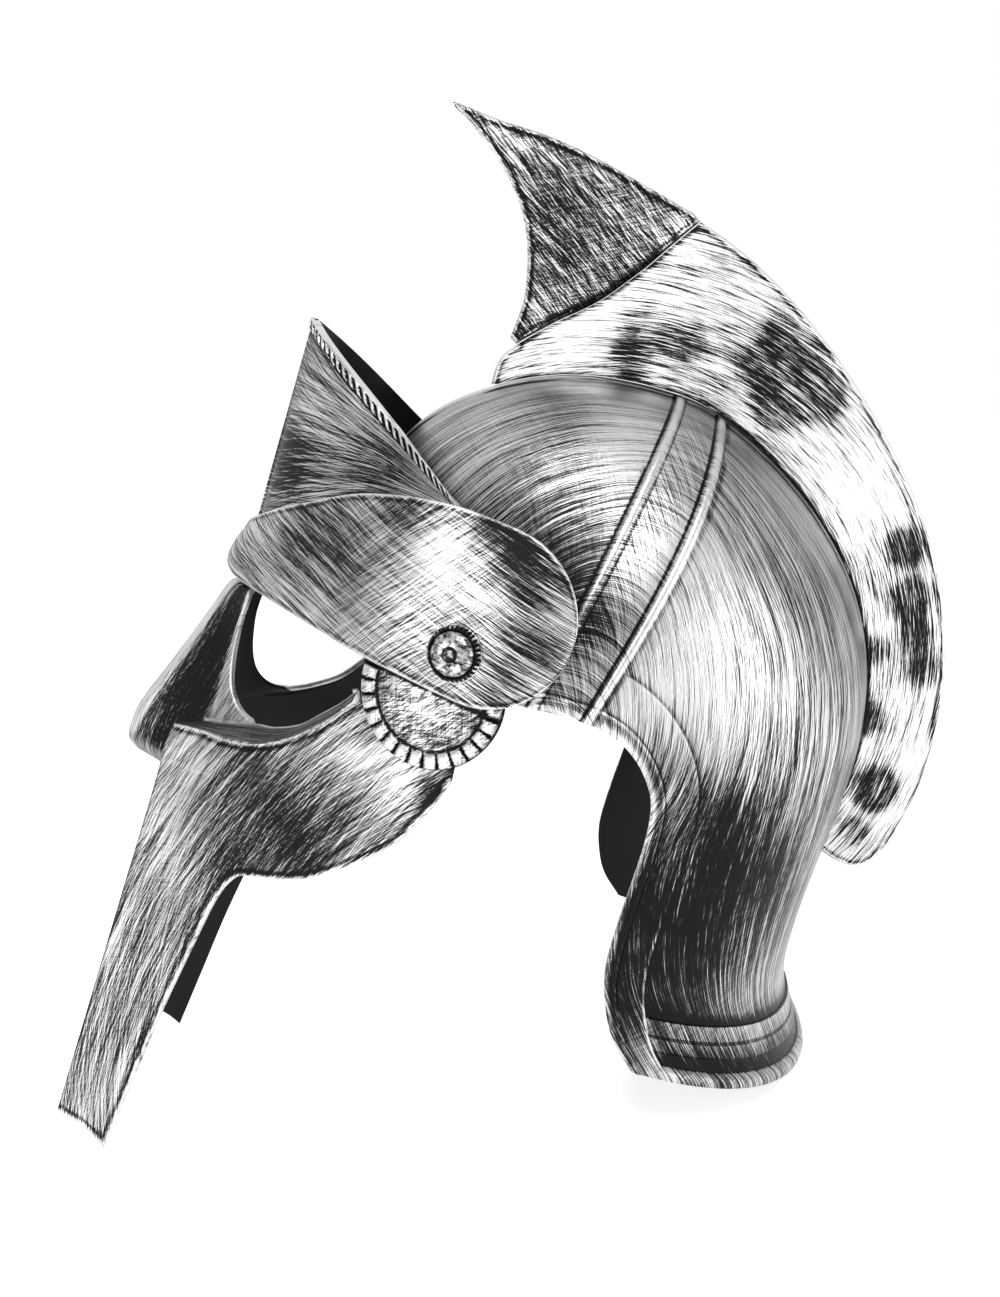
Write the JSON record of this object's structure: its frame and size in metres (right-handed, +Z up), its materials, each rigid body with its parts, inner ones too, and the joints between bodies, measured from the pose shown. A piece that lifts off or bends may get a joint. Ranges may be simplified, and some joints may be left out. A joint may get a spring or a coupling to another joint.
{
  "type": "gladiator helmet",
  "caption": "Silver gladiator helmet with a tall curved crest, a flared neck guard and a hinged visor of brow band, pointed peak and face mask with long cheek guards.",
  "frame": {"origin": "centre of the footprint, on the surface that the cheek guards' tips and the neck guard's rim rest on", "axes": "-Y towards the face, +Z up, +X towards the wearer's left; the helmet is a mirror image of itself across X = 0"},
  "size_m": [0.1998, 0.3882, 0.403],
  "materials": {
    "brushed_silver": "silver paint dry-brushed in streaks over glossy black plastic, black inside",
    "bright_trim": "brighter silver paint over black, worn on raised teeth",
    "rivet_silver": "dark silver paint with a black knurled ring"
  },
  "bodies": {
    "helmet": {"skull": "brushed_silver", "crest_blade": "brushed_silver", "crest_horn": "brushed_silver"},
    "visor": {"brow_band": "brushed_silver", "brow_peak": "brushed_silver", "face_mask": "brushed_silver", "ear_disc_left": "bright_trim", "ear_disc_right": "bright_trim", "rivet_left": "rivet_silver", "rivet_right": "rivet_silver"}
  },
  "joints": [
    {"name": "visor_hinge", "type": "hinge", "parent": "helmet", "child": "visor", "pos_m": [0, -0.00147, 0.19617], "axis": [-1, 0, 0], "range_deg": [0, 20]}
  ]
}
